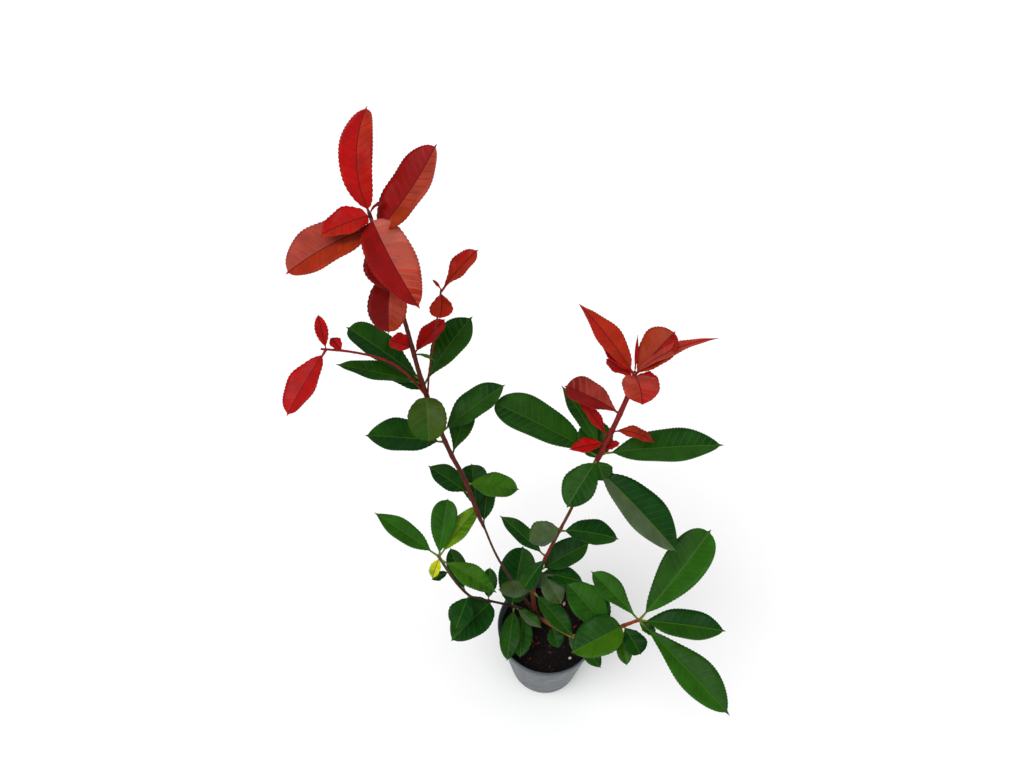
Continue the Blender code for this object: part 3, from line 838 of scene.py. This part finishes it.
def outline(form, share):
    """The half-width of a blade as a share of its widest, with a short point at the tip."""
    to_base, to_tip, _ = FORMS[form]
    peak = to_base / (to_base + to_tip)
    body = min(1.0, max(0.0, share / BODY_END))
    width = (body / peak) ** to_base * ((1 - body) / (1 - peak)) ** to_tip
    if share > 1 - POINT_RUN:
        width = max(width, POINT_WIDTH * (1 - share) / POINT_RUN)
    return width


def leaf_frame(turn, lift, roll):
    """Axes of a leaf: along its chord, to its right and out of its upper face."""
    turn, lift, roll = math.radians(turn), math.radians(lift), math.radians(roll)
    along = Vector((math.cos(lift) * math.cos(turn), math.cos(lift) * math.sin(turn), math.sin(lift)))
    right = Vector((math.sin(turn), -math.cos(turn), 0.0))
    face = right.cross(along)
    turned_by = Matrix.Rotation(-roll, 3, along)
    return along, turned_by @ right, turned_by @ face


def bowed(length, bend, share):
    """How far a chord of this length stands out at a share of its run, and its slope there."""
    half = math.radians(bend) / 2
    if abs(half) < 0.001:
        return 0.0, 0.0
    radius = length / (2 * math.sin(half))
    angle = math.asin((1 - 2 * share) * math.sin(half))
    return radius * (math.cos(angle) - math.cos(half)), angle


class Leaf:
    """One leaf's own frame, and the points on its midrib."""

    def __init__(self, root, row, form, rng):
        self.turn, self.lift, self.length, self.width, self.roll, self.arch, self.sweep = row
        self.root, self.form, self.stalk = root, form, FORMS[form][2]
        self.along, self.right, self.face = leaf_frame(self.turn, self.lift, self.roll)
        self.fold = math.radians(LEAF_FOLD + rng.uniform(-FOLD_SPREAD, FOLD_SPREAD))

    def rib(self, share):
        """The midrib's point and upward direction at a share of the length."""
        out, angle = bowed(self.length, self.arch, share)
        aside, _ = bowed(self.length, self.sweep, share)
        centre = self.root + self.along * (self.length * share) + self.face * out
        up = self.face * math.cos(angle) - self.along * math.sin(angle)
        return centre + self.right * aside, up


# %% Make one blade
BAND_DRIFT = 0.45
SHADE_AT = 0.22
RIB_SHOWS_TO = 0.96


def across_share(column, half):
    """Where a column stands between the left edge, at -1, and the right edge, at 1."""
    rib = min(RIB_MOST, RIB_HALF / max(half, 0.1))
    steps = (COLUMNS - 1) / 2
    side = 1 if column > steps else -1
    far = abs(column - COLUMNS / 2) - 0.5
    return side * (rib + (1 - rib) * far / steps)


def add_blade(form, leaf, paint, slot_of, rng):
    """One blade with its thickness. It gives back the faces of its upper side."""
    blade = leaf.length * (1 - leaf.stalk)
    rows = max(9, round(blade / ROW_STEP))
    veins = max(3, round(blade / VEIN_STEP))
    waves = rng.uniform(0, 2 * math.pi)
    verts = bmesh.ops.create_grid(form, x_segments=COLUMNS, y_segments=rows, size=1.0)["verts"]
    skyward = form.verts.layers.float_vector["skyward"]
    place = {}
    for vert in verts:
        column, row = round((vert.co.x + 1) / 2 * COLUMNS), round((vert.co.y + 1) / 2 * rows)
        place[vert] = (column, row)
        run = row / rows
        far = abs(column - COLUMNS / 2) / (COLUMNS / 2)
        share = run + VEIN_SLANT * far * leaf.width / blade * 2 * run * (1 - run)
        edge = (row % TOOTH_ROWS) / TOOTH_ROWS if column in (0, COLUMNS) else 0.0
        half = max(LEAST_HALF - TIP_LESS * share, leaf.width / 2 * outline(leaf.form, share))
        across = across_share(column, half)
        phase = run * veins + (0.5 if across > 0 else 0.0)
        flat = min(1.0, half / FULL_HALF)
        puff = QUILT * flat * (0.5 - 0.5 * math.cos(2 * math.pi * phase)) * math.sin(math.pi * abs(across))
        swing = math.sin(waves + WAVE_RATE * share + WAVE_SHIFT * across)
        wave = EDGE_WAVE * flat * across * across * swing
        half += TOOTH * flat * edge
        centre, up = leaf.rib(leaf.stalk + (1 - leaf.stalk) * share)
        lean = leaf.fold * (1 + RIB_STEEPER - RIB_STEEPER * abs(across))
        sideways = leaf.right * (half * across * math.cos(lean))
        upwards = up * (half * abs(across) * math.sin(lean) + puff + wave)
        vert.co = (centre + sideways + upwards) * MM
        vert[skyward] = up
    faces = tint_faces(verts, place, rows, veins, paint, slot_of, rng)
    lower = bmesh.ops.extrude_face_region(form, geom=faces, use_keep_orig=True)["geom"]
    for item in lower:
        if isinstance(item, bmesh.types.BMVert):
            item.co -= item[skyward] * BLADE_THICK * MM
    return faces


def tint_faces(verts, place, rows, veins, paint, slot_of, rng):
    """Deals the tints out: rib, side veins, and the bands between them.

    The faces keep the grid's order. A set has another order in each run, and the draws would too.
    """
    bands = [(side, band) for side in (0, 1) for band in range(veins + 2)]
    drift = {band: rng.uniform(-BAND_DRIFT, BAND_DRIFT) for band in bands}
    middle = COLUMNS // 2
    red = paint in RED_PAINTS
    rib = leaf_finish("rib_red" if red else "rib_green", RIB_RED if red else RIB_GREEN)
    faces = list(dict.fromkeys(face for vert in verts for face in vert.link_faces))
    for face in faces:
        column = min(place[vert][0] for vert in face.verts)
        row = min(place[vert][1] for vert in face.verts)
        side = 1 if column > middle else 0
        run = (row + 0.5) / rows
        phase = run * veins + 0.5 * side
        on_vein = abs(phase - round(phase)) < 0.5 * veins / rows
        level = round(min(LEVELS, max(0.0, run * LEVELS + drift[(side, int(phase))])))
        if column == middle and run < RIB_SHOWS_TO:
            name = rib
        elif on_vein and abs(column - middle) < middle:
            name = vein_tint(paint, side)
        else:
            mottle = noise.noise(face.calc_center_median() * MOTTLE) + rng.uniform(-0.1, 0.1)
            shade = 1 if abs(mottle) < SHADE_AT else (2 if mottle > 0 else 0)
            name = blade_tint(paint, side, level, shade)
        face.material_index = slot_of(name)
        face.smooth = True
    return faces


# %% Make every mass of blades
def make_mass(name, line, rows):
    """All blades of a mass as one piece, which takes the place of its solid."""
    rng, own = random.Random(SEED), random.Random(name)
    form = bmesh.new()
    form.verts.layers.float_vector.new("skyward")
    names = []
    upper = set()

    def slot_of(finish_name):
        if finish_name not in names:
            names.append(finish_name)
        return names.index(finish_name)

    leaves = []
    for height, *row, paint, shape in rows:
        root, _ = point_at(line, height)
        leaf = Leaf(root, row, shape, rng)
        leaves.append((leaf, paint))
        upper.update(add_blade(form, leaf, paint, slot_of, own))
    under_green = slot_of(leaf_finish("under_green", UNDER_GREEN, UNDER_ROUGHNESS))
    under_red = slot_of(leaf_finish("under_red", UNDER_RED, UNDER_ROUGHNESS))
    bmesh.ops.recalc_face_normals(form, faces=form.faces)
    for face in form.faces:
        if face not in upper:
            kind = names[face.material_index]
            face.material_index = under_green if "green" in kind or "yellow" in kind else under_red
            face.smooth = True
    longest = max(edge.calc_length() for edge in form.edges) / MM
    piece = add_object(name + "_leaves", form)
    for kind in names:
        piece.data.materials.append(leaf_finishes[kind])
    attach(piece, "root")
    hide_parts(name + "_foliage")
    print(piece.name, len(rows), "leaves,", len(piece.data.polygons), f"faces, longest edge {longest:.1f} mm")
    return leaves


every_leaf = []
for name, limb, rows, slot in MASSES:
    every_leaf += [(limb, *made) for made in make_mass(name, LINES[limb], rows)]

# %% [markdown]
# ## Stems, bark and stalks
# Bark on so young a plant is thin: smooth and red on the new shoots, brown with fine cracks
# lower down, with a swelling and a scar at each leaf. A stem is a ring of vertices, extruded
# from sample to sample along its line and scaled to each radius, which keeps one clean tube. The
# surface is then pushed about by noise for the bark's relief.

# %% Tubes by extrusion
def ring_frames(samples):
    """A matrix for the ring at each sample, turned as little as possible from one to the next."""
    frames = []
    heading, spin = None, None
    for index, (point, radius) in enumerate(samples):
        before, after = samples[max(0, index - 1)][0], samples[min(len(samples) - 1, index + 1)][0]
        new = (after - before).normalized()
        if heading is None:
            spin = new.to_track_quat("Z", "Y")
        else:
            spin = heading.rotation_difference(new) @ spin
        heading = new
        scale = Matrix.Diagonal((radius * MM, radius * MM, radius * MM, 1.0))
        frames.append(Matrix.Translation(point * MM) @ spin.to_matrix().to_4x4() @ scale)
    return frames


def add_tube(form, samples, sides):
    """A closed tube: a ring extruded through every sample, with both ends filled."""
    frames = ring_frames(samples)
    verts = bmesh.ops.create_circle(form, segments=sides, radius=1.0, matrix=frames[0])["verts"]
    ring = list(dict.fromkeys(edge for vert in verts for edge in vert.link_edges))
    first, every = ring, list(verts)
    for old, new in zip(frames, frames[1:]):
        made = bmesh.ops.extrude_edge_only(form, edges=ring)["geom"]
        verts = [item for item in made if isinstance(item, bmesh.types.BMVert)]
        chosen = set(verts)
        ring = [
            item for item in made if isinstance(item, bmesh.types.BMEdge) and chosen.issuperset(item.verts)
        ]
        bmesh.ops.transform(form, matrix=new @ old.inverted(), verts=verts)
        every += verts
    bmesh.ops.edgeloop_fill(form, edges=first)
    bmesh.ops.edgeloop_fill(form, edges=ring)
    return every


NODE_SWELL = 0.14
NODE_REACH = 2.0


def fine_samples(line, girth, step, nodes):
    """The line at even fine steps, thicker by a share at each node's height."""
    samples = []
    for (low, low_radius), (high, high_radius) in zip(line, line[1:]):
        pieces = max(1, round((high - low).length / step))
        for piece in range(pieces):
            share = piece / pieces
            samples.append((low.lerp(high, share), low_radius + (high_radius - low_radius) * share))
    samples.append(line[-1])
    thick = []
    for point, radius in samples:
        grown = sum(math.exp(-(((point.z - node) / NODE_REACH) ** 2)) for node in nodes)
        thick.append((point, radius * girth * (1 + NODE_SWELL * min(1.0, grown))))
    return thick


# %% Bark finishes
# The stem colours by height, from the lowest to the highest.
STEM_COLOURS = {
    "right": (
        (94, (0.030, 0.008, 0.003)),
        (150, (0.120, 0.014, 0.004)),
        (200, (0.150, 0.014, 0.004)),
        (240, (0.120, 0.030, 0.006)),
        (290, (0.110, 0.018, 0.005)),
        (312, (0.200, 0.010, 0.008)),
        (379, (0.230, 0.008, 0.007)),
    ),
    "left": (
        (96, (0.030, 0.010, 0.004)),
        (215, (0.090, 0.022, 0.008)),
        (235, (0.090, 0.009, 0.003)),
        (330, (0.100, 0.008, 0.003)),
        (420, (0.085, 0.007, 0.003)),
        (488, (0.055, 0.008, 0.004)),
    ),
    "low_left": (
        (92, (0.028, 0.010, 0.005)),
        (140, (0.030, 0.014, 0.006)),
        (170, (0.050, 0.030, 0.008)),
        (206, (0.110, 0.090, 0.010)),
    ),
    "low_right": (
        (92, (0.045, 0.012, 0.004)),
        (110, (0.300, 0.080, 0.030)),
        (124, (0.200, 0.150, 0.012)),
        (150, (0.280, 0.070, 0.012)),
        (198, (0.200, 0.050, 0.010)),
        (221, (0.300, 0.050, 0.006)),
    ),
    "side": ((349, (0.110, 0.008, 0.004)), (402, (0.250, 0.008, 0.004))),
    "slim": ((349, (0.110, 0.008, 0.004)), (431, (0.240, 0.016, 0.006))),
}


def stem_finish(name, stops):
    """Bark whose colour climbs with height, with flecks, and a fine cracked relief."""
    finish, shader = new_finish("bark_" + name, stops[0][1], 0.5)
    nodes, links = finish.node_tree.nodes, finish.node_tree.links
    place = nodes.new("ShaderNodeTexCoord")
    split = nodes.new("ShaderNodeSeparateXYZ")
    height = nodes.new("ShaderNodeMapRange")
    low, high = stops[0][0], stops[-1][0]
    height.inputs["From Min"].default_value = low * MM
    height.inputs["From Max"].default_value = high * MM
    links.new(place.outputs["Object"], split.inputs["Vector"])
    links.new(split.outputs["Z"], height.inputs["Value"])
    shares = [((stop - low) / (high - low), colour) for stop, colour in stops]
    climb = ramp_node(finish, height.outputs["Result"], shares)
    flecks = ramp_node(finish, noise_node(finish, 500.0, 4.0, (1.0, 1.0, 0.4)), ((0.42, 1.0), (0.62, 0.62)))
    mix = nodes.new("ShaderNodeMix")
    mix.data_type = "RGBA"
    mix.blend_type = "MULTIPLY"
    mix.inputs["Factor"].default_value = 1.0
    links.new(climb, mix.inputs["A"])
    links.new(flecks, mix.inputs["B"])
    links.new(mix.outputs["Result"], shader.inputs["Base Color"])
    shader.inputs["Specular IOR Level"].default_value = 0.18
    wear(finish, shader, noise_node(finish, 300.0, 2.0), 0.38, 0.62)
    add_bump(finish, shader, noise_node(finish, 900.0, 5.0, (1.0, 1.0, 0.35)), 0.5, 0.0004)
    return finish


# %% Make the stems
STEM_SIDES = 20
STEM_STEP = 1.3
BARK_RELIEF = 0.16
BARK_GRAIN = 900.0
TRUNK_SIDES = 28
TRUNK_STEP = 1.5
TRUNK_RELIEF = 0.5
TRUNK_GRAIN = 520.0
# The trunk's flat cut lies below this height, and isn't roughened.
TRUNK_CUT = 80.6
TRUNK_COLOURS = ((80, (0.020, 0.008, 0.005)), (97, (0.035, 0.012, 0.007)))
# Each stem: its limb, its girth beside the stouter solid, and the solid that it replaces.
STEMS = (
    ("right", 0.84, ("right_bough",)),
    ("left", 0.84, ("left_bough",)),
    ("low_left", 0.95, ("low_left_bough",)),
    ("low_right", 0.90, ("low_right_bough",)),
    ("side", 0.72, ()),
    ("slim", 0.62, ()),
)


def roughen(verts, depth, grain):
    """Moves each vertex along its normal by noise that runs up the stem."""
    for vert in verts:
        spot = Vector((vert.co.x, vert.co.y, vert.co.z * 0.45)) * grain
        vert.co += vert.normal * noise.noise(spot) * depth * MM


for limb, girth, solids in STEMS:
    nodes = [leaf.root.z for kind, leaf, _ in every_leaf if kind == limb]
    form = bmesh.new()
    add_tube(form, fine_samples(LINES[limb], girth, STEM_STEP, nodes), STEM_SIDES)
    bmesh.ops.recalc_face_normals(form, faces=form.faces)
    form.normal_update()
    roughen(form.verts, BARK_RELIEF, BARK_GRAIN)
    for face in form.faces:
        face.smooth = True
    stem = add_object(limb + "_stem", form)
    stem.data.materials.append(stem_finish(limb, STEM_COLOURS[limb]))
    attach(stem, "root")
    if solids:
        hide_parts(*solids)
    print(stem.name, len(stem.data.polygons), "faces")

# %% Make the trunk
form = bmesh.new()
column = smooth_line(TRUNK_COLUMN, TRUNK_STEP)
add_tube(form, column, TRUNK_SIDES)
bmesh.ops.recalc_face_normals(form, faces=form.faces)
form.normal_update()
above_cut = [vert for vert in form.verts if vert.co.z > TRUNK_CUT * MM]
roughen(above_cut, TRUNK_RELIEF, TRUNK_GRAIN)
for face in form.faces:
    face.smooth = True
trunk = add_object("trunk_bark", form)
trunk.data.materials.append(stem_finish("trunk", TRUNK_COLOURS))
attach(trunk, "root")
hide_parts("trunk")
print("trunk", len(trunk.data.polygons), "faces")

# %% [markdown]
# ## Leaf stalks and midribs
# A stalk is a short tapering tube, thickest where it joins the stem, which runs on under the
# blade as its midrib. It is made like the stems, with fewer sides.

# %% Make the stalks
STALK_SIDES = 8
STALK_STEPS = 15
STALK_ROOT = 1.05
STALK_NECK = 0.72
RIB_END = 0.16
RIB_REACH = 0.93
# A leaf shorter or narrower than these has a thinner stalk, down to the least share.
FULL_LENGTH = 45.0
FULL_WIDTH = 9.0
LEAST_STALK = 0.45
# How deep the rib's centre lies under the face: a share of its radius and a little more.
SUNK_SHARE = 0.75
SUNK_MORE = 0.12
# Steps are closer together near the root.
STEP_POWER = 1.15
# On the low right limb the stalks below this height are pink.
PINK_BELOW = 210
STALK_COLOURS = {
    "stalk_green": (0.120, 0.150, 0.022),
    "stalk_pink": (0.300, 0.090, 0.050),
    "stalk_red": (0.230, 0.012, 0.010),
}


def stalk_samples(leaf):
    """Points from inside the stem to near the tip, just under the blade's skin."""
    thin = max(LEAST_STALK, min(1.0, leaf.length / FULL_LENGTH, leaf.width / FULL_WIDTH))
    samples = []
    for step in range(STALK_STEPS + 1):
        share = RIB_REACH * (step / STALK_STEPS) ** STEP_POWER
        centre, up = leaf.rib(share)
        if share < leaf.stalk:
            radius = STALK_ROOT + (STALK_NECK - STALK_ROOT) * share / leaf.stalk
        else:
            run = (share - leaf.stalk) / (RIB_REACH - leaf.stalk)
            radius = STALK_NECK + (RIB_END - STALK_NECK) * run
        radius *= thin
        sunk = min(1.0, share / leaf.stalk) * (radius * SUNK_SHARE + SUNK_MORE)
        samples.append((centre - up * sunk, radius))
    return samples


form = bmesh.new()
stalk_slots = list(STALK_COLOURS)
for limb, leaf, paint in every_leaf:
    verts = add_tube(form, stalk_samples(leaf), STALK_SIDES)
    if paint in RED_PAINTS:
        kind = "stalk_red"
    else:
        kind = "stalk_pink" if limb == "low_right" and leaf.root.z < PINK_BELOW else "stalk_green"
    for face in {face for vert in verts for face in vert.link_faces}:
        face.material_index = stalk_slots.index(kind)
        face.smooth = True
bmesh.ops.recalc_face_normals(form, faces=form.faces)
stalks = add_object("leaf_stalks", form)
for kind, colour in STALK_COLOURS.items():
    leaf_finish(kind, colour)
    stalks.data.materials.append(leaf_finishes[kind])
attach(stalks, "root")
print("stalks", len(stalks.data.polygons), "faces")
